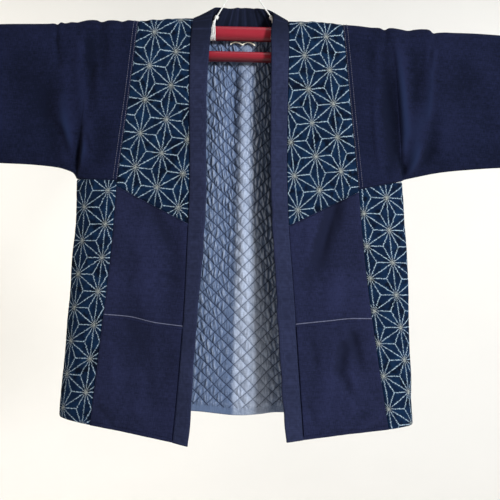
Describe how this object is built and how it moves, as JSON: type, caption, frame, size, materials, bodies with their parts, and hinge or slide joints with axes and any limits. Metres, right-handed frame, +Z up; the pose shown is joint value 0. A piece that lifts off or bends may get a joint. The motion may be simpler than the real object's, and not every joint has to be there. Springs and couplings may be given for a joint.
{
  "type": "quilted cotton jacket on a hanger",
  "caption": "Short wide-sleeved quilted cotton jacket hanging open on a two-bar lacquered hanger: banded collar, patterned yokes and side panels, patch pockets, quilted lining.",
  "frame": {"origin": "the hang point, on the underside of the hanger cord where it passes over a hook", "axes": "+Z up, the open front faces -Y, +X to the viewer's right as the front is looked at"},
  "size_m": [1.36, 0.0778, 0.8811],
  "materials": {
    "navy_cotton": "plain navy cotton, matt, fine slub weave",
    "hemp_leaf_cotton": "indigo cotton with a pale hemp-leaf lattice, slightly broken lines",
    "collar_cotton": "plain navy cotton over a padded band, matt",
    "quilted_lining": "light blue cotton quilted in small diamonds with dark thread",
    "lilac_piping": "thin lilac-grey piping",
    "cream_tape": "cream cord, matt",
    "red_lacquer": "wood with deep red lacquer, glossy",
    "white_cord": "white twisted cord and tassels"
  },
  "bodies": {
    "root": {"back": "navy_cotton", "back_lining": "quilted_lining", "yoke_left": "hemp_leaf_cotton", "front_left": "navy_cotton", "side_panel_left": "hemp_leaf_cotton", "sleeve_left": "navy_cotton", "pocket_left": "navy_cotton", "pocket_piping_left": "lilac_piping", "yoke_right": "hemp_leaf_cotton", "front_right": "navy_cotton", "side_panel_right": "hemp_leaf_cotton", "sleeve_right": "navy_cotton", "pocket_right": "navy_cotton", "pocket_piping_right": "lilac_piping", "collar": "collar_cotton", "hanger_loop": "cream_tape", "hanger_bar": "red_lacquer", "hanger_rail": "red_lacquer", "hanger_cord": "white_cord", "cord_knot_left": "white_cord", "tassel_left": "white_cord", "rail_link_left": "white_cord", "cord_knot_right": "white_cord", "tassel_right": "white_cord", "rail_link_right": "white_cord"}
  },
  "joints": []
}
